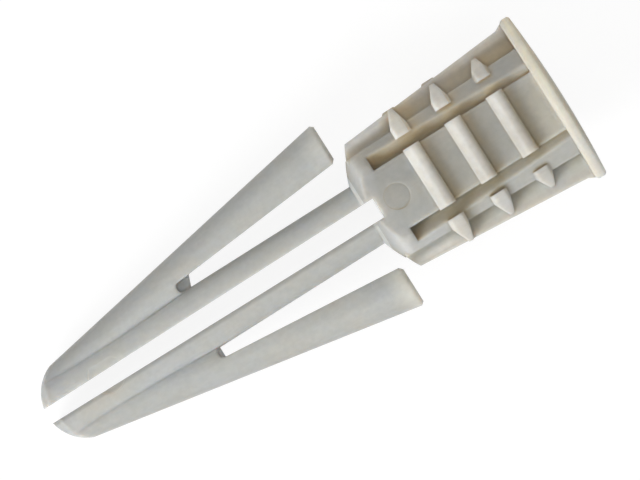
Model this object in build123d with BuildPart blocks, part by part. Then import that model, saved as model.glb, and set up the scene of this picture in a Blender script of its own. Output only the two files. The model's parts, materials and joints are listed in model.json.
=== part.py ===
import os
from math import asin, atan2, cos, degrees, hypot, radians, sin, sqrt, tan

from build123d import *

# Plasterboard plug, moulded in one piece, in millimetres.
# While it is drawn, X runs along the plug toward its head with x = 0 at the
# underside of the head, Y runs across the two wings and Z is square to the
# parting plane of the mould. The last step lays the plug down as it rests.

# Head
head_radius = 6.0
head_rim = 0.75
head_dome = 0.27
head_under_round = 0.3
head_top_chamfer = 0.12

# Turned core of the body
body_length = 13.71
nose_length = 1.0
nose_face_radius = 2.2
nose_bulge = 0.08
nose_shoulder_round = 0.9
core_radius = 4.85
core_taper = 2.84
rail_wall_head = 3.95
rail_wall_nose = 3.62

# Low fins in the parting plane
fin_radius = 5.62
fin_taper = 4.6
fin_nose_setback = 0.7
fin_nose_length = 0.48
fin_nose_bulge = 0.03
fin_root_half = 0.95
fin_edge_half = 0.36
fin_root_round = 0.5
fin_flare_length = 0.45
fin_flare_reach = 0.2
fin_bump_count = 2
fin_bump_height = 0.1

# Flat panel on the front and on the back
panel_height = 3.95
panel_half_width = 2.17
panel_root_round = 0.3

# Slots beside the panel
slot_nose_wall = 1.86
slot_floor = 2.2
slot_floor_width = 0.05
slot_lean = 57
slot_climb = 7.2

# Barbs in three rows: straight bars on the panels, wedges of rings on the fins
barb_count = 3
barb_nose_distance = 4.71
barb_head_distance = 2.73
barb_width = 1.2
bar_height = 0.8
bar_overhang = 0.1
bar_ramp_length = 0.5
bar_ramp_rise = 0.5
bar_crest_round = 0.3
bar_head_side_round = 0.4
ring_radius = 4.86
ring_taper = -1.35
ring_depth = 1.9
ring_crest_chamfer = 0.2
wedge_reach_in = 3.55
wedge_point_half = 0.16
wedge_point_offset = 0.1
wedge_point_inset = 0.1

# Screw bore
bore_radius = 1.5
bore_nose_distance = 2.71
bore_lead_length = 1.3
bore_mouth = 0.25

# Legs and the gap between them
gap_half_root = 0.71
gap_half_tip = 0.52
gap_reach_in_nose = 0.86
leg_outer = 2.14
leg_half_height = 1.55
leg_round = 1.45

# Wings
wing_end_past_nose = 0.1
wing_outer = 6.84
wing_outer_angle = 10.41
wing_inner = 3.976
wing_inner_angle = 5.14
wing_end_radius = 1.68
wing_narrowing = 0.0315
wing_end_chamfer = 0.22
wing_slot_length = 12.98
wing_slot_roundness = 0.84

# Film left across the ends of the slots, slanted on one side and narrow on the other
film_half = 0.12
film_reach_leg = 0.8
film_reach_wing = 1.15
film_reach_narrow = 0.34

# Tips, both cut to one ball
tip_ball_radius = 2.91
tip_ball_from_wing_end = 21.47

# Round marks that ejector pins left
panel_mark_nose_distance = 2.26
panel_mark_radius = 0.87
leg_mark_from_ball = 1.72
leg_mark_offset = 0.25
leg_mark_radius = 1.22
panel_mark_depth = 0.05
leg_mark_depth = 0.09

clear = 2.0


def narrowing(size, angle, x):
    """Size at station x of something that narrows toward the tip of the plug."""
    return size + x * tan(radians(angle))


def core_at(x):
    """Radius of the turned core at station x."""
    return narrowing(core_radius, core_taper, x)


def fin_at(x):
    """Distance of a fin's edge from the axis at station x."""
    return narrowing(fin_radius, fin_taper, x)


def crest_at(x):
    """Radius of the crest of a barb's ring at station x."""
    return narrowing(ring_radius, ring_taper, x)


def panel_at(x):
    """Height of the flat panel over the parting plane at station x."""
    return narrowing(panel_height, core_taper, x)


def rail_wall_at(x):
    """Distance of a rail's outer wall from the axis at station x."""
    return rail_wall_head + (rail_wall_head - rail_wall_nose) * x / body_length


def wing_outer_at(x):
    """Distance of a wing's outer edge from the axis at station x."""
    return narrowing(wing_outer, wing_outer_angle, x + wing_end)


def wing_inner_at(x):
    """Distance of a wing's inner edge from the axis at station x."""
    return narrowing(wing_inner, wing_inner_angle, x + wing_end)


def wing_radius_at(x):
    """Radius of the rod that a wing is part of, at station x."""
    return wing_end_radius + wing_narrowing * (x + wing_end)


# Places along the plug, worked out from the length of the body
wing_end = body_length - wing_end_past_nose
wing_slot_end = wing_end + wing_slot_length
tip_ball_centre = wing_end + tip_ball_from_wing_end
plug_end = tip_ball_centre + tip_ball_radius
slot_start = body_length - slot_nose_wall
bore_length = body_length - bore_nose_distance
gap_floor = body_length - gap_reach_in_nose
panel_mark_place = body_length - panel_mark_nose_distance
leg_mark_place = tip_ball_centre - leg_mark_from_ball
barb_first = body_length - barb_nose_distance
barb_pitch = (barb_first - barb_head_distance) / (barb_count - 1)
barb_places = [-barb_first + i * barb_pitch for i in range(barb_count)]

# Rings that give the wedges on the fins their crests
with BuildPart() as rings:
    for place in barb_places:
        with BuildSketch() as ring_profile:
            with Locations((place, crest_at(place) - ring_depth / 2)):
                Rectangle(barb_width, ring_depth)
            chamfer(ring_profile.vertices().group_by(Axis.Y)[-1], ring_crest_chamfer)
        revolve(axis=Axis.X)

# Wedges: as wide as a barb beside the slot, run out to a narrow point on the fin
with BuildPart() as wedges:
    with BuildSketch():
        for place in barb_places:
            point = place + wedge_point_offset
            point_reach = crest_at(place) - wedge_point_inset
            reach_in = narrowing(wedge_reach_in, core_taper, place)
            with BuildLine():
                Polyline(
                    (place - barb_width / 2, reach_in),
                    (place + barb_width / 2, reach_in),
                    (place + barb_width / 2, rail_wall_at(place)),
                    (point + wedge_point_half, point_reach),
                    (point - wedge_point_half, point_reach),
                    (place - barb_width / 2, rail_wall_at(place)),
                    close=True,
                )
            make_face()
        mirror(about=Plane.XZ)
    extrude(amount=head_radius, both=True)
    add(rings.part, mode=Mode.INTERSECT)

# Bars across both panels
with BuildPart() as bars:
    for place in barb_places:
        bar_top = panel_at(place) + bar_height
        with BuildSketch(Plane.XZ) as bar_profile:
            with BuildLine():
                Polyline(
                    (place - barb_width / 2, 0),
                    (place - barb_width / 2, bar_top - bar_ramp_rise),
                    (place - barb_width / 2 + bar_ramp_length, bar_top),
                    (place + barb_width / 2, bar_top),
                    (place + barb_width / 2, 0),
                    close=True,
                )
            make_face()
            ramp_top = bar_profile.vertices().group_by(Axis.Y)[-1].sort_by(Axis.X)[0]
            fillet(ramp_top, bar_crest_round)
            head_side_top = bar_profile.vertices().sort_by(Axis.X)[-2:].sort_by(Axis.Y)[-1]
            fillet(head_side_top, bar_head_side_round)
            mirror(about=Plane.XZ)
        extrude(amount=panel_half_width + bar_overhang, both=True)

# Low bumps on the edge of one fin, beside the barbs near the nose
with BuildPart() as fin_bumps:
    with BuildSketch():
        for place in barb_places[:fin_bump_count]:
            with BuildLine():
                Polyline(
                    (place - barb_width / 2, fin_at(place) - fin_bump_height),
                    (place + barb_width / 2, fin_at(place) - fin_bump_height),
                    (place + barb_width / 3, fin_at(place) + fin_bump_height),
                    (place - barb_width / 3, fin_at(place) + fin_bump_height),
                    close=True,
                )
            make_face()
    extrude(amount=fin_edge_half, both=True)

# Fins, thinner toward their edges and flared at the head
with BuildPart() as fins:
    with BuildSketch():
        fin_nose = -body_length + fin_nose_setback
        fin_shoulder = fin_nose + fin_nose_length
        nose_low = (fin_nose, rail_wall_at(fin_nose))
        nose_high = (fin_shoulder, fin_at(fin_shoulder))
        flare_start = (-fin_flare_length, fin_at(-fin_flare_length))
        flare_end = (0, fin_radius + fin_flare_reach)
        with BuildLine():
            SagittaArc(nose_low, nose_high, fin_nose_bulge)
            Line(nose_high, flare_start)
            Polyline(flare_start, flare_end, (0, 0), (fin_nose, 0), nose_low)
        make_face()
        mirror(about=Plane.XZ)
    extrude(amount=fin_root_half * 2, both=True)
    with BuildSketch(Plane.YZ) as fin_section:
        with BuildLine():
            Polyline(
                (0, 0),
                (0, fin_root_half * 2),
                (rail_wall_nose, fin_root_half * 2),
                (rail_wall_nose, fin_root_half),
                (fin_radius + fin_flare_reach, fin_edge_half),
                (fin_radius + fin_flare_reach, 0),
                close=True,
            )
        make_face()
        root_corner = fin_section.vertices().sort_by_distance((rail_wall_nose, fin_root_half))[0]
        fillet(root_corner, fin_root_round)
        mirror(about=Plane.XZ)
        mirror(about=Plane.YZ)
    extrude(amount=-body_length, mode=Mode.INTERSECT)

# Slots between panels and rails, shallower toward the head
with BuildPart() as slots:
    with BuildSketch(Plane.YZ.offset(-slot_start)):
        slot_rise = head_radius - slot_floor
        with BuildLine():
            Polyline(
                (panel_half_width, slot_floor),
                (panel_half_width, head_radius),
                (panel_half_width + narrowing(slot_floor_width, slot_lean, slot_rise), head_radius),
                (panel_half_width + slot_floor_width, slot_floor),
                close=True,
            )
        make_face()
        mirror(about=Plane.YZ)
    climb = radians(slot_climb)
    extrude(amount=slot_start / cos(climb), dir=(cos(climb), 0, sin(climb)))
    mirror(about=Plane.XY)

# Leg and wing on the side where y is positive
with BuildPart() as arm:
    # Rod of the wing, turned about its own axis
    rod_root_x = -body_length / 2
    rod_root = (rod_root_x, wing_outer_at(rod_root_x) - wing_radius_at(rod_root_x))
    rod_tip = (-plug_end, wing_outer_at(-plug_end) - wing_radius_at(-plug_end))
    with BuildSketch():
        with BuildLine():
            Polyline(
                rod_tip,
                rod_root,
                (rod_root[0], wing_outer_at(rod_root[0])),
                (rod_tip[0], wing_outer_at(rod_tip[0])),
                close=True,
            )
        make_face()
    revolve(axis=Axis(rod_tip, (rod_root[0] - rod_tip[0], rod_root[1] - rod_tip[1])))
    # Space between wing and leg, and everything past the end of the wing
    with BuildSketch() as wing_slot:
        slot_end_width = wing_inner_at(-wing_slot_end) - leg_outer
        wing_slot_round = wing_slot_roundness * slot_end_width / 2
        round_end = -wing_slot_end + wing_slot_round * 2
        with BuildLine():
            Polyline(
                (-wing_slot_end, leg_outer),
                (-wing_slot_end, wing_inner_at(-wing_slot_end)),
                (-wing_end, wing_inner_at(-wing_end)),
                (-wing_end, wing_outer + clear),
                (0, wing_outer + clear),
                (0, gap_half_tip),
                (round_end, gap_half_tip),
                (round_end, leg_outer),
                close=True,
            )
        make_face()
        slot_corners = wing_slot.vertices().group_by(Axis.X)[0]
        fillet(slot_corners, wing_slot_round)
    extrude(amount=head_radius, both=True, mode=Mode.SUBTRACT)
    wing_end_face = arm.faces().sort_by(Axis.X)[-1]
    chamfer(wing_end_face.edges(), wing_end_chamfer)
    # Leg, rounded on its outer side
    with BuildSketch(Plane.YZ.offset(-plug_end)) as leg_section:
        leg_width = leg_outer - gap_half_tip / 2
        with Locations((leg_outer - leg_width / 2, 0)):
            Rectangle(leg_width, leg_half_height * 2)
        fillet(leg_section.vertices().group_by(Axis.X)[-1], leg_round)
    extrude(amount=plug_end - gap_floor)
    # Ball that the tip is cut to
    with BuildSketch():
        with BuildLine():
            ball_side = (-tip_ball_centre, tip_ball_radius)
            ball_end = (-plug_end, 0)
            RadiusArc(ball_side, ball_end, -tip_ball_radius)
            Polyline(
                ball_end,
                (-plug_end - clear, 0),
                (-plug_end - clear, tip_ball_radius + clear),
                (-tip_ball_centre, tip_ball_radius + clear),
                ball_side,
            )
        make_face()
    revolve(axis=Axis.X, mode=Mode.SUBTRACT)

# The whole plug while it is drawn
with BuildPart() as drawn:
    # Nose and core, turned about the axis
    with BuildSketch() as core_profile:
        nose_low = (-body_length, nose_face_radius)
        nose_high = (-body_length + nose_length, core_at(-body_length + nose_length))
        with BuildLine():
            SagittaArc(nose_low, nose_high, nose_bulge)
            Polyline(nose_high, (0, core_at(0)), (0, 0), (-body_length, 0), nose_low)
        make_face()
        shoulder = core_profile.vertices().sort_by_distance(nose_high)[0]
        fillet(shoulder, nose_shoulder_round)
    revolve(axis=Axis.X)
    # Outer walls of the rails
    with BuildSketch():
        with BuildLine():
            Polyline(
                (-body_length, -rail_wall_at(-body_length)),
                (-body_length, rail_wall_at(-body_length)),
                (0, rail_wall_at(0)),
                (0, -rail_wall_at(0)),
                close=True,
            )
        make_face()
    extrude(amount=head_radius, both=True, mode=Mode.INTERSECT)
    # Flat panels
    with BuildSketch(Plane.XZ) as over_panels:
        with BuildLine():
            Polyline(
                (-body_length - clear, panel_at(-body_length - clear)),
                (0, panel_at(0)),
                (0, head_radius),
                (-body_length - clear, head_radius),
                close=True,
            )
        make_face()
        root_corner = over_panels.vertices().sort_by_distance((0, panel_height))[0]
        fillet(root_corner, panel_root_round)
        mirror(about=Plane.XZ)
    extrude(amount=head_radius, both=True, mode=Mode.SUBTRACT)
    add(slots.part, mode=Mode.SUBTRACT)
    add(fins.part)
    add(wedges.part)
    add(fin_bumps.part)
    add(bars.part)
    # Head, with a low dome
    with BuildSketch() as head_profile:
        dome_radius = (head_radius**2 + head_dome**2) / (2 * head_dome)
        head_top = head_rim + head_dome
        with BuildLine():
            Polyline((head_top, 0), (0, 0), (0, head_radius), (head_rim, head_radius))
            RadiusArc((head_rim, head_radius), (head_top, 0), dome_radius)
        make_face()
        under_corner = head_profile.vertices().group_by(Axis.Y)[-1].sort_by(Axis.X)[0]
        fillet(under_corner, head_under_round)
        top_corner = head_profile.vertices().group_by(Axis.Y)[-1].sort_by(Axis.X)[-1]
        chamfer(top_corner, head_top_chamfer)
    revolve(axis=Axis.X)
    # Legs and wings
    add(arm.part)
    mirror(arm.part, about=Plane.XZ)
    # Gap between the legs, open through the nose
    with BuildSketch():
        with BuildLine():
            Polyline(
                (-gap_floor, gap_half_root),
                (-plug_end - clear, gap_half_tip),
                (-plug_end - clear, -gap_half_tip),
                (-gap_floor, -gap_half_root),
                close=True,
            )
        make_face()
    extrude(amount=head_radius, both=True, mode=Mode.SUBTRACT)
    # Screw bore with its mouth and its lead into the gap
    with BuildSketch():
        with BuildLine():
            Polyline(
                (-gap_floor, 0),
                (-gap_floor, gap_half_root),
                (-bore_length - bore_lead_length, gap_half_root),
                (-bore_length, bore_radius),
                (head_top - bore_mouth, bore_radius),
                (head_top + bore_mouth, bore_radius + bore_mouth * 2),
                (head_top + bore_mouth, 0),
                close=True,
            )
        make_face()
    revolve(axis=Axis.X, mode=Mode.SUBTRACT)
    # Films across the ends of the slots
    with BuildSketch():
        film_in = leg_outer - film_half
        film_out = wing_inner_at(-wing_slot_end) + film_half
        with BuildLine():
            Polyline(
                (-wing_slot_end - film_half, film_in),
                (-wing_slot_end - film_half, film_out),
                (-wing_slot_end + film_reach_wing, film_out),
                (-wing_slot_end + film_reach_leg, film_in),
                close=True,
            )
        make_face()
        narrow_length = film_half + film_reach_narrow
        with Locations((-wing_slot_end - film_half + narrow_length / 2, -(film_in + film_out) / 2)):
            Rectangle(narrow_length, film_out - film_in)
    extrude(amount=film_half, both=True)
    # Marks of the ejector pins on the front
    with BuildSketch(Plane.XY.offset(panel_at(-panel_mark_place) - panel_mark_depth)):
        with Locations((-panel_mark_place, 0)):
            Circle(panel_mark_radius)
    extrude(amount=clear / 2, mode=Mode.SUBTRACT)
    with BuildSketch(Plane.XY.offset(leg_half_height - leg_mark_depth)):
        with Locations((-leg_mark_place, leg_mark_offset)):
            Circle(leg_mark_radius)
    extrude(amount=clear / 2, mode=Mode.SUBTRACT)

# Rest: the plug lies on its two tips and on the rounded lower edge of its head
tip_contact_x = -tip_ball_centre - sqrt(tip_ball_radius**2 - leg_half_height**2 - gap_half_tip**2)
edge_centre = head_radius - head_under_round
run = head_under_round - tip_contact_x
drop = edge_centre - leg_half_height
rest_tilt = atan2(drop, run) + asin(head_under_round / hypot(run, drop))
rest_height = head_under_round * (1 - sin(rest_tilt)) + edge_centre * cos(rest_tilt)
lying = drawn.part.rotate(Axis.Y, -degrees(rest_tilt))
middle = lying.bounding_box().center()

with BuildPart() as plasterboard_plug:
    with Locations((-middle.X, -middle.Y, rest_height)):
        add(lying)

plasterboard_plug.part.label = "plasterboard_plug"
os.makedirs("parts", exist_ok=True)
export_step(plasterboard_plug.part, "parts/plasterboard_plug.step")
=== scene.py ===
import json

from math import cos, radians, sin, tan
from types import SimpleNamespace

import bpy
from mathutils import Matrix, Vector

# A plasterboard plug on a white table, seen square onto its front face.
# The scene is in metres. Sizes and places are named in millimetres of the plug's own frame: it
# starts in the middle of the head's underside, with x out of the head, y across the wings and
# z out of the front face. The leg tips lie near x = -38, and the photograph's upper side is +y.

MM = 0.001

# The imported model
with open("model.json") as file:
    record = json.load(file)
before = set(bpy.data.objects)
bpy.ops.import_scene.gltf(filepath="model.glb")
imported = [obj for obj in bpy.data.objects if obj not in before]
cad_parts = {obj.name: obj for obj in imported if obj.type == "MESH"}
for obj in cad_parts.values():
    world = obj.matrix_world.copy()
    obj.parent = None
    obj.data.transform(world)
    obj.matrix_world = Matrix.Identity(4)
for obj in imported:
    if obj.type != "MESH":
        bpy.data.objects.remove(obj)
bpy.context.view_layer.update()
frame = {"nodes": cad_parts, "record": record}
plug = frame["nodes"]["plasterboard_plug"]
mounts = {mount["name"]: mount for mount in frame["record"]["mounts"]}

# The plug's own frame, which leans because the plug lies on its tips and on the edge of its head
bore_middle = Vector(mounts["screw_bore"]["pos_m"])
plug_x = Vector(mounts["screw_bore"]["axis"]).normalized()
plug_y = Vector((0, 1, 0))
plug_z = plug_x.cross(plug_y)
bore_to_head = (Vector(mounts["head_underside"]["pos_m"]) - bore_middle).dot(plug_x)
head_middle = bore_middle + plug_x * bore_to_head


def along_plug(x, y, z):
    """Direction in the scene for a direction in the plug's own frame."""
    return plug_x * x + plug_y * y + plug_z * z


def at(x, y, z):
    """Point of the scene for a point of the plug's own frame."""
    return head_middle + along_plug(x, y, z) * MM


# Camera: far away and square onto the plug's front, with the head at the upper right
IMAGE_WIDTH = 41.14
AIM = (-17.137, 0.262, 0)
PLUG_TURN = 32.29
LENS = 1200
SENSOR = 36
CLIP_NEAR = 0.1
CLIP_FAR = 10


def add_camera():
    turn = radians(PLUG_TURN)
    right = along_plug(cos(turn), -sin(turn), 0)
    up = along_plug(sin(turn), cos(turn), 0)
    distance = IMAGE_WIDTH * MM * LENS / SENSOR
    data = bpy.data.cameras.new("camera")
    data.lens = LENS
    data.sensor_width = SENSOR
    data.clip_start = distance * CLIP_NEAR
    data.clip_end = distance * CLIP_FAR
    camera = bpy.data.objects.new("camera", data)
    bpy.context.scene.collection.objects.link(camera)
    turned = Matrix((right, up, plug_z)).transposed().to_4x4()
    camera.matrix_world = Matrix.Translation(at(*AIM) + plug_z * distance) @ turned
    bpy.context.scene.camera = camera


# Light: one wide soft lamp, low on the side of the tips
LAMP_SIDE = along_plug(-0.76, -0.36, 0.5).normalized()
LAMP_DISTANCE = 250
LAMP_WIDTH = 120
LAMP_POWER = 0.46


def add_lamp():
    data = bpy.data.lights.new("lamp", "AREA")
    data.shape = "DISK"
    data.size = LAMP_WIDTH * MM
    data.energy = LAMP_POWER
    lamp = bpy.data.objects.new("lamp", data)
    bpy.context.scene.collection.objects.link(lamp)
    lamp.location = at(*AIM) + LAMP_SIDE * LAMP_DISTANCE * MM
    lamp.rotation_mode = "QUATERNION"
    lamp.rotation_quaternion = (-LAMP_SIDE).to_track_quat("-Z", "Y")


# Nodes
WHITE = (1, 1, 1, 1)


def node(tree, kind, inputs=(), **settings):
    """New node: an input is linked where a socket is given, and set where a value is."""
    made = tree.nodes.new(kind)
    for name, value in settings.items():
        setattr(made, name, value)
    for socket, value in dict(inputs).items():
        if isinstance(value, bpy.types.NodeSocket):
            tree.links.new(value, made.inputs[socket])
        else:
            made.inputs[socket].default_value = value
    return made


def calc(tree, operation, *values):
    return node(tree, "ShaderNodeMath", dict(enumerate(values)), operation=operation).outputs[0]


def calc_vector(tree, operation, *values):
    return node(tree, "ShaderNodeVectorMath", dict(enumerate(values)), operation=operation).outputs[0]


def scaled(tree, vector, factor):
    return node(tree, "ShaderNodeVectorMath", {0: vector, "Scale": factor}, operation="SCALE").outputs[0]


def dot(tree, first, second):
    multiplied = node(tree, "ShaderNodeVectorMath", {0: first, 1: second}, operation="DOT_PRODUCT")
    return multiplied.outputs["Value"]


def product(tree, result, *factors):
    for factor in factors:
        result = calc(tree, "MULTIPLY", result, factor)
    return result


def inverse(tree, mask):
    """1 where the mask is 0, and 0 where it is 1."""
    return calc(tree, "SUBTRACT", 1.0, mask)


def only_on(tree, mask, factor):
    """The factor where the mask is 1, and 1 where it is 0."""
    return calc(tree, "POWER", factor, mask)


def length(tree, first, second):
    """Length of a line from its two components."""
    return calc(tree, "SQRT", calc(tree, "MULTIPLY_ADD", first, first, product(tree, second, second)))


def above_line(tree, value, x, slope, at_head):
    """How far the value is above a straight line that runs along the plug."""
    return calc(tree, "SUBTRACT", value, calc(tree, "MULTIPLY_ADD", x, slope, at_head))


def ramp(tree, value, ends, levels=(0.0, 1.0)):
    """Goes from the first level to the second while the value goes from the first end to the second."""
    return node(tree, "ShaderNodeMapRange", dict(enumerate((value, *ends, *levels)))).outputs[0]


def blend(tree, factor, first, second):
    return node(tree, "ShaderNodeMix", {"Factor": factor, 6: first, 7: second}, data_type="RGBA").outputs[2]


def noise(tree, place, scale, detail):
    return node(tree, "ShaderNodeTexNoise", {"Vector": place, "Scale": scale, "Detail": detail}).outputs[0]


def new_material(name):
    material = bpy.data.materials.new(name)
    material.use_nodes = True
    material.node_tree.nodes.clear()
    return material, material.node_tree


# World: plain light that weakens upward, and white to the camera and in reflections
SKY_HEIGHTS = (0.0, 0.9)
SKY_LIGHT = (0.75, 0.6)


def make_world():
    world = bpy.data.worlds.new("studio")
    world.use_nodes = True
    tree = world.node_tree
    tree.nodes.clear()
    path = node(tree, "ShaderNodeLightPath")
    seen = calc(tree, "MAXIMUM", path.outputs["Is Camera Ray"], path.outputs["Is Glossy Ray"])
    ray = node(tree, "ShaderNodeTexCoord").outputs["Generated"]
    height = node(tree, "ShaderNodeSeparateXYZ", {0: ray}).outputs["Z"]
    light = ramp(tree, height, SKY_HEIGHTS, SKY_LIGHT)
    plain = node(tree, "ShaderNodeBackground", {"Color": WHITE, "Strength": light})
    white = node(tree, "ShaderNodeBackground", {"Color": WHITE})
    mixed = node(tree, "ShaderNodeMixShader", {0: seen, 1: plain.outputs[0], 2: white.outputs[0]})
    node(tree, "ShaderNodeOutputWorld", {"Surface": mixed.outputs[0]})
    bpy.context.scene.world = world


# Table: lights the plug from below as a pale surface does, and is almost white to the camera
TABLE_REACH = 2000
TABLE_COLOUR = (0.85, 0.85, 0.85, 1)
TABLE_SEEN = (0.18, 0.18, 0.18, 1)
TABLE_GLOW = 0.865


def white_table():
    material, tree = new_material("white_table")
    seen = node(tree, "ShaderNodeLightPath").outputs["Is Camera Ray"]
    matte = node(tree, "ShaderNodeBsdfDiffuse", {"Color": blend(tree, seen, TABLE_COLOUR, TABLE_SEEN)})
    glow = node(tree, "ShaderNodeEmission", {"Color": WHITE, "Strength": product(tree, seen, TABLE_GLOW)})
    both = node(tree, "ShaderNodeAddShader", {0: matte.outputs[0], 1: glow.outputs[0]})
    node(tree, "ShaderNodeOutputMaterial", {"Surface": both.outputs[0]})
    return material


def add_table():
    reach = TABLE_REACH * MM
    corners = [(-reach, -reach, 0), (reach, -reach, 0), (reach, reach, 0), (-reach, reach, 0)]
    mesh = bpy.data.meshes.new("table")
    mesh.from_pydata(corners, [], [(0, 1, 2, 3)])
    mesh.materials.append(white_table())
    table = bpy.data.objects.new("table", mesh)
    bpy.context.scene.collection.objects.link(table)


# Places on the plug: distances from its middle at x = 0, and how they change along x
CORE_RADIUS = 4.85
PANEL_HEIGHT = 3.95
BODY_SLOPE = tan(radians(2.84))
WING_EDGE = 9.714
WING_SLOPE = 0.2
GAP_HALF = 0.818
GAP_SLOPE = 0.0079

# Places on the plug: where parts begin or end
HEAD_START = -0.001  # just before 0, so that the flat underside belongs to the head
BODY_END = -13.5  # the nose's flat end lies just past it, and has the tones of the legs
BAR_REACH = 2.3
WING_END_INSIDE = 3.2

# Places on the plug: x, y and radius of the round marks that the ejector pins left
PIN_MARKS = ((-11.45, 0.0, 0.87), (-33.36, 0.25, 1.22))

# Fades from nothing to full, by x
HEAD_RIM = (0.1, 0.4)
NOSE_FINS = (-9.4, -10.2)
NOSE_CONE = (-11.9, -12.9)
CLEAR_OF_NOSE = (-12.9, -11.9)
WING_ENDS = (-15.3, -13.7)
TIPS = (-35.9, -37.0)
TIP_ENDS = (-36.8, -37.6)

# Fades from nothing to full: two by y, one by the distance from the middle, one by the height
HIGH_SIDE = (-4.5, 4.5)
HIGH_SIDE_OF_PANEL = (-1.5, 0.5)
FINS = (3.9, 4.5)
RAISED = (0.0, 0.3)


def plug_zones(tree):
    """Distances in the plug's own frame, and masks that go from 0 off a zone to 1 on it."""
    position = node(tree, "ShaderNodeNewGeometry").outputs["Position"]
    offset = calc_vector(tree, "SUBTRACT", position, head_middle)
    x, y, z = (dot(tree, offset, axis / MM) for axis in (plug_x, plug_y, plug_z))
    aside = calc(tree, "ABSOLUTE", y)
    radius = length(tree, y, z)

    on_head = calc(tree, "GREATER_THAN", x, HEAD_START)
    on_body = calc(tree, "GREATER_THAN", x, BODY_END)
    off_body = inverse(tree, on_body)
    at_bars = calc(tree, "LESS_THAN", aside, BAR_REACH)
    beyond_legs = calc(tree, "GREATER_THAN", radius, WING_END_INSIDE)

    over_core = above_line(tree, radius, x, BODY_SLOPE, CORE_RADIUS)
    over_panel = above_line(tree, calc(tree, "ABSOLUTE", z), x, BODY_SLOPE, PANEL_HEIGHT)
    height = calc(tree, "MAXIMUM", over_core, product(tree, over_panel, at_bars))
    return SimpleNamespace(
        x=x,
        y=y,
        z=z,
        aside=aside,
        high_side=ramp(tree, y, HIGH_SIDE),
        on_head=on_head,
        on_body=on_body,
        off_body=off_body,
        on_fins=product(tree, ramp(tree, aside, FINS), on_body),
        on_panel=product(tree, at_bars, inverse(tree, on_head)),
        on_nose=product(tree, ramp(tree, x, NOSE_CONE), on_body),
        raised=product(tree, ramp(tree, height, RAISED), on_body, ramp(tree, x, CLEAR_OF_NOSE)),
        at_wing_ends=product(tree, ramp(tree, x, WING_ENDS), beyond_legs, off_body),
        low_leg=product(tree, off_body, calc(tree, "LESS_THAN", y, 0.0)),
    )


# Soft edges: how wide the edges are rounded, on the legs, on the body, by x and by a mark's rim
LEG_EDGE = 0.3
BODY_EDGE = 0.45
NOSE_EDGE = ((-12.0, -12.8), (0.0, 0.35))
TIP_EDGE = ((-36.0, -37.0), (0.0, 0.8))
MARK_EDGE = ((0.3, 0.45), (0.012, BODY_EDGE))
EDGE_SAMPLES = 6


def soft_edges(tree, zones):
    """Normals rounded over the edges: wider on the nose and the tips, and crisp at the pin marks."""
    width = ramp(tree, zones.on_body, (0.0, 1.0), (LEG_EDGE, BODY_EDGE))
    width = calc(tree, "ADD", width, product(tree, zones.on_body, ramp(tree, zones.x, *NOSE_EDGE)))
    width = calc(tree, "ADD", width, ramp(tree, zones.x, *TIP_EDGE))
    for mark_x, mark_y, mark_radius in PIN_MARKS:
        beside_x = calc(tree, "SUBTRACT", zones.x, mark_x)
        beside_y = calc(tree, "SUBTRACT", zones.y, mark_y)
        from_rim = calc(tree, "SUBTRACT", length(tree, beside_x, beside_y), mark_radius)
        crisp = ramp(tree, calc(tree, "ABSOLUTE", from_rim), *MARK_EDGE)
        width = calc(tree, "MINIMUM", width, crisp)
    rounding = {"Radius": product(tree, width, MM)}
    return node(tree, "ShaderNodeBevel", rounding, samples=EDGE_SAMPLES).outputs[0]


# Patterns in the plastic: features per millimetre and detail, and the values that they reach
CLOUDY = (0.35, 3.0)
MOTTLED = (2.6, 4.0)
FINE = (9.0, 3.0)
DRAWN_OUT = (7.0, 2.0)
DRAWN_OUT_ALONG = 0.04
PATTERN_ENDS = (0.3, 0.7)


def plastic_patterns(tree, zones):
    """Patterns in the plastic. The last one is drawn out along the plug, as the plastic flowed."""
    place = scaled(tree, node(tree, "ShaderNodeTexCoord").outputs["Object"], 1 / MM)
    drawn_x = product(tree, zones.x, DRAWN_OUT_ALONG)
    drawn_place = node(tree, "ShaderNodeCombineXYZ", {0: drawn_x, 1: zones.y, 2: zones.z}).outputs[0]
    return SimpleNamespace(
        cloudy=noise(tree, place, *CLOUDY),
        mottled=noise(tree, place, *MOTTLED),
        fine=noise(tree, place, *FINE),
        drawn_out=noise(tree, drawn_place, *DRAWN_OUT),
    )


# Tones on the low and on the high side of the plug: lit and shaded copies, in which painted light and shade
# make one side lighter or darker
# Painted shade: the body's grey is darker on the high side
BODY_GREY_LIT_AND_SHADED = ((0.43, 0.435, 0.41, 1), (0.38, 0.38, 0.355, 1))
# Painted light: the legs' grey is lighter on the high side
LEG_GREY_LIT_AND_SHADED = ((0.475, 0.485, 0.465, 1), (0.515, 0.525, 0.505, 1))
# Painted light and shade on the tips: lighter on the low side, darker on the high side
TIP_GREY_LIT_AND_SHADED = ((0.53, 0.545, 0.545, 1), (0.455, 0.465, 0.455, 1))
# Painted glow on the fins, as of light through thin plastic, with painted shade that makes the high side
# darker
FIN_PAINTED_GLOW = ((0.57, 0.575, 0.53, 1), (0.54, 0.52, 0.46, 1))
# Painted light on the fins by the nose, which lifts the shade there, lightest on the high side
NOSE_FIN_PAINTED_LIGHT = ((0.80, 0.79, 0.75, 1), (0.96, 0.96, 0.94, 1))
# Painted glow on the bars and wedges, as of light through thin raised plastic, lighter on the high side
RAISED_PAINTED_GLOW = ((0.54, 0.53, 0.49, 1), (0.76, 0.755, 0.72, 1))
# The head's own cream, with painted glow and painted light that makes the high side lighter
HEAD_CREAM_AND_GLOW = ((0.59, 0.60, 0.57, 1), (0.78, 0.775, 0.67, 1))
# Painted shade: brown in the hollows, darker on the low side
POCKET_PAINTED_SHADE = ((0.36, 0.30, 0.16, 1), (0.65, 0.53, 0.33, 1))
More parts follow.
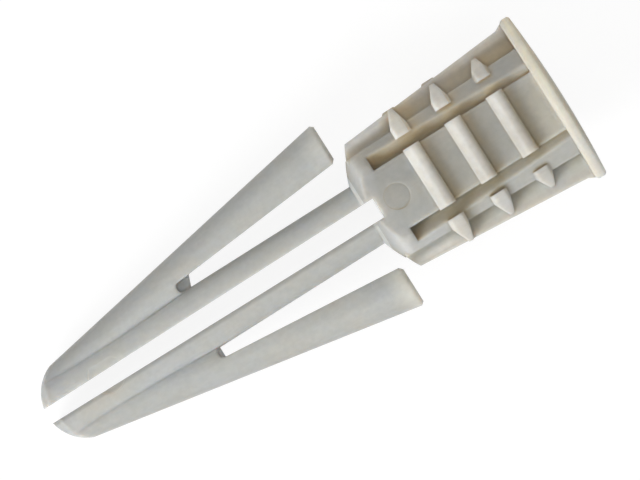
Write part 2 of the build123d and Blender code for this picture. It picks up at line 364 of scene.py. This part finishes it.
# Painted light: pale in the legs' creases, paler on the low side
CREASE_PAINTED_LIGHT = ((0.88, 0.88, 0.86, 1), (0.72, 0.72, 0.69, 1))

# Tones that both sides share
# Painted shade that darkens the tip ends where the lamp lights them
TIP_END_PAINTED_SHADE = (0.33, 0.34, 0.33, 1)
NOSE_GREY = (0.46, 0.465, 0.45, 1)
HEAD_UNDERSIDE = (0.56, 0.54, 0.47, 1)
# Painted glow on the wing ends, as of light through thin plastic
WING_END_PAINTED_GLOW = (0.67, 0.67, 0.61, 1)
WARM = (0.52, 0.49, 0.42, 1)
COOL = (0.48, 0.50, 0.53, 1)


def part_tones(tree, zones):
    """Grey body and legs with painted light and shade by side, painted cream glow where the plastic stands
    out, and the head's own cream with painted glow.
    """
    body = blend(tree, ramp(tree, zones.y, HIGH_SIDE_OF_PANEL), *BODY_GREY_LIT_AND_SHADED)
    legs = blend(tree, zones.high_side, *LEG_GREY_LIT_AND_SHADED)
    tips = blend(tree, zones.high_side, *TIP_GREY_LIT_AND_SHADED)
    fins = blend(tree, zones.high_side, *FIN_PAINTED_GLOW)
    nose_fins_light = blend(tree, zones.high_side, *NOSE_FIN_PAINTED_LIGHT)
    bars_and_wedges_glow = blend(tree, zones.high_side, *RAISED_PAINTED_GLOW)
    head = blend(tree, zones.high_side, *HEAD_CREAM_AND_GLOW)

    tone = blend(tree, zones.on_body, legs, body)
    tone = blend(tree, ramp(tree, zones.x, TIPS), tone, tips)
    tone = blend(tree, ramp(tree, zones.x, TIP_ENDS), tone, TIP_END_PAINTED_SHADE)
    fins = blend(tree, ramp(tree, zones.x, NOSE_FINS), fins, nose_fins_light)
    tone = blend(tree, zones.on_fins, tone, fins)
    tone = blend(tree, zones.raised, tone, bars_and_wedges_glow)
    tone = blend(tree, zones.on_nose, tone, NOSE_GREY)
    head = blend(tree, ramp(tree, zones.x, HEAD_RIM), HEAD_UNDERSIDE, head)
    tone = blend(tree, zones.on_head, tone, head)
    return blend(tree, zones.at_wing_ends, tone, WING_END_PAINTED_GLOW)


# Hollows: share of the painted brown shade and of the painted pale light by how open a place is toward the
# lamp, and less shade on the fins
HOLLOW_REACH = 2.2
HOLLOW_SAMPLES = 8
LAMP_PULL = 1.5
POCKET_SHADE_SHARE = ((0.45, 0.86), (0.82, 0.0))
CREASE_LIGHT_SHARE = ((0.35, 0.8), (0.8, 0.0))
NOSE_FINS_CLEAR = (0.0, 0.8)
LOW_FIN_SHARE = ((-3.5, -4.8), (1.0, 0.2))


def hollow_shade_and_light(tree, zones, tone):
    """Painted brown shade in the body's pockets, and painted pale light in the creases of the legs, by how
    open they are seen from the lamp's side.
    """
    facing = node(tree, "ShaderNodeNewGeometry").outputs["Normal"]
    pulled = calc_vector(tree, "ADD", facing, LAMP_SIDE * LAMP_PULL)
    around = {"Distance": HOLLOW_REACH * MM, "Normal": calc_vector(tree, "NORMALIZE", pulled)}
    openness = node(tree, "ShaderNodeAmbientOcclusion", around, samples=HOLLOW_SAMPLES).outputs["AO"]

    clear = product(tree, zones.on_fins, ramp(tree, zones.x, NOSE_FINS, NOSE_FINS_CLEAR))
    pocket_shade = product(tree, ramp(tree, openness, *POCKET_SHADE_SHARE), zones.on_body, inverse(tree, clear))
    pocket_shade = product(tree, pocket_shade, ramp(tree, zones.y, *LOW_FIN_SHARE))
    tone = blend(tree, pocket_shade, tone, blend(tree, zones.high_side, *POCKET_PAINTED_SHADE))
    crease_light = product(tree, ramp(tree, openness, *CREASE_LIGHT_SHARE), zones.off_body)
    return blend(tree, crease_light, tone, blend(tree, zones.high_side, *CREASE_PAINTED_LIGHT))


# Clouds: share of the warm and of the cool tone, by the cloudy pattern
WARM_CLOUDS = ((0.5, 0.75), (0.0, 0.4))
COOL_CLOUDS = ((0.5, 0.25), (0.0, 0.4))


def cloud_tones(tree, cloudy, tone):
    tone = blend(tree, ramp(tree, cloudy, *WARM_CLOUDS), tone, WARM)
    return blend(tree, ramp(tree, cloudy, *COOL_CLOUDS), tone, COOL)


# Shade: brightness by the patterns, which is the plastic's own mottle, and painted shade and light by the
# way the surface faces and by the place
MOTTLED_SHADE = (0.95, 1.04)
DRAWN_OUT_SHADE = (0.985, 1.01)
TURNED_DIRECTION = along_plug(0.97, 0.2, 0).normalized()
TURNED_SHADE = ((0.12, 0.7), (1.0, 0.76))
WING_EDGE_SHADE = ((0.0, -1.2), (0.78, 1.0))
HIGH_WING_SHADE = ((1.8, 2.6), (1.0, 0.93))
NOSE_RIM_SHADE = ((-12.8, -13.4), (1.0, 0.72))
HIGH_FIN_SHADE = ((4.3, 4.8), (1.0, 0.87))
PANEL_BY_HEAD_SHADE = ((-1.8, -0.5), (1.0, 1.17))

# Painted shade: share taken off the bars toward the head, and off the low leg at its gap and beside it
OFF_BARS = ((-8.0, -2.0), (0.06, 0.12))
OFF_GAP_EDGE = ((0.34, 0.14), (0.0, 0.22))
OFF_LEG_INSIDE = ((-2.4, -1.8), (0.0, 0.05))


def shade(tree, zones, patterns, soft_normal):
    """Factor on the tone: the plastic's own mottle, and painted shade and light by facing and by place."""
    from_wing_edge = above_line(tree, zones.aside, zones.x, WING_SLOPE, WING_EDGE)
    from_gap = above_line(tree, zones.aside, zones.x, GAP_SLOPE, GAP_HALF)
    off_leg = calc(tree, "ADD", ramp(tree, from_gap, *OFF_GAP_EDGE), ramp(tree, zones.y, *OFF_LEG_INSIDE))
    off_bars = product(tree, ramp(tree, zones.x, *OFF_BARS), zones.raised, zones.on_panel)
    bare_panel = product(tree, zones.on_panel, inverse(tree, zones.raised))
    below_head = calc(tree, "SUBTRACT", zones.on_body, zones.on_head)
    return product(
        tree,
        ramp(tree, patterns.mottled, PATTERN_ENDS, MOTTLED_SHADE),
        ramp(tree, patterns.drawn_out, PATTERN_ENDS, DRAWN_OUT_SHADE),
        ramp(tree, dot(tree, soft_normal, TURNED_DIRECTION), *TURNED_SHADE),
        calc(tree, "MAXIMUM", ramp(tree, from_wing_edge, *WING_EDGE_SHADE), zones.on_body),
        inverse(tree, product(tree, off_leg, zones.low_leg)),
        inverse(tree, off_bars),
        only_on(tree, bare_panel, ramp(tree, zones.x, *PANEL_BY_HEAD_SHADE)),
        only_on(tree, below_head, ramp(tree, zones.y, *HIGH_FIN_SHADE)),
        only_on(tree, zones.off_body, ramp(tree, zones.y, *HIGH_WING_SHADE)),
        only_on(tree, zones.on_body, ramp(tree, zones.x, *NOSE_RIM_SHADE)),
    )


# Surface: satin, rougher on the nose and the tips, with faint waves and a fine grain
SATIN = (0.42, 0.58)
NOSE_SCUFF = ((-11.9, -12.5), (0.42, 0.8))
TIP_SCUFF = ((-35.8, -36.8), (0.0, 0.8))
WAVE_STRENGTH = 0.05
WAVE_HEIGHT = 0.03
GRAIN_STRENGTH = 0.15
GRAIN_HEIGHT = 0.02


def roughness(tree, zones, mottled):
    nose = product(tree, ramp(tree, zones.x, *NOSE_SCUFF), zones.on_body)
    scuffed = calc(tree, "MAXIMUM", nose, ramp(tree, zones.x, *TIP_SCUFF))
    return calc(tree, "MAXIMUM", ramp(tree, mottled, PATTERN_ENDS, SATIN), scuffed)


def bump(tree, pattern, strength, height, normal):
    inputs = {"Height": pattern, "Strength": strength, "Distance": height * MM, "Normal": normal}
    return node(tree, "ShaderNodeBump", inputs).outputs[0]


# Light inside the plastic: how far it spreads, and the shares of that for red, green and blue
LIGHT_SPREAD = 1.4
SPREAD_BY_COLOUR = (1.0, 0.8, 0.6)
NYLON_IOR = 1.5


def nylon():
    material, tree = new_material("moulded_nylon")
    zones = plug_zones(tree)
    patterns = plastic_patterns(tree, zones)
    soft_normal = soft_edges(tree, zones)
    tone = part_tones(tree, zones)
    tone = hollow_shade_and_light(tree, zones, tone)
    tone = cloud_tones(tree, patterns.cloudy, tone)
    waves = bump(tree, patterns.drawn_out, WAVE_STRENGTH, WAVE_HEIGHT, soft_normal)
    skin = node(tree, "ShaderNodeBsdfPrincipled", {
        "Base Color": scaled(tree, tone, shade(tree, zones, patterns, soft_normal)),
        "Roughness": roughness(tree, zones, patterns.mottled),
        "Normal": bump(tree, patterns.fine, GRAIN_STRENGTH, GRAIN_HEIGHT, waves),
        "Subsurface Weight": 1.0,
        "Subsurface Radius": SPREAD_BY_COLOUR,
        "Subsurface Scale": LIGHT_SPREAD * MM,
        "IOR": NYLON_IOR,
    })
    node(tree, "ShaderNodeOutputMaterial", {"Surface": skin.outputs[0]})
    return material


def dress(piece, material):
    for slot in piece.material_slots:
        slot.material = material


add_camera()
add_lamp()
make_world()
add_table()
dress(plug, nylon())
bpy.context.scene.view_settings.view_transform = "Standard"
